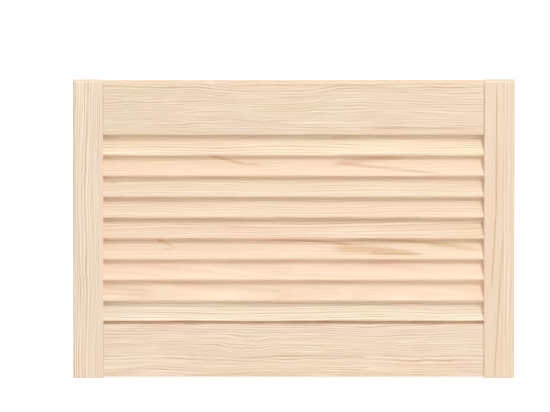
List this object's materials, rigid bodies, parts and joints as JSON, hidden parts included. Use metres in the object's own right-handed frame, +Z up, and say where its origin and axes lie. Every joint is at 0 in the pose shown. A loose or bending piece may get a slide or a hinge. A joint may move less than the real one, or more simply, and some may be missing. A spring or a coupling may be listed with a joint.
{
  "type": "louvred cabinet door",
  "caption": "Wide, low louvred cabinet door of unfinished pine: stiles and rails with rounded outer edges round a row of fixed slanted slats that let air through.",
  "frame": {"origin": "middle of the left stile's outer edge, the edge that hinges are let into", "axes": "+X across the door to the free edge, -Y out of the front face, +Z up"},
  "size_m": [0.594, 0.02, 0.4046],
  "materials": {
    "stile_pine": "planed and sanded, bare",
    "rail_pine": "planed and sanded, bare",
    "slat_pine": "planed and sanded, bare"
  },
  "bodies": {
    "root": {"left_stile": "stile_pine", "right_stile": "stile_pine", "top_rail": "rail_pine", "bottom_rail": "rail_pine", "slat_1": "slat_pine", "slat_2": "slat_pine", "slat_3": "slat_pine", "slat_4": "slat_pine", "slat_5": "slat_pine", "slat_6": "slat_pine", "slat_7": "slat_pine", "slat_8": "slat_pine", "slat_9": "slat_pine"}
  },
  "joints": []
}
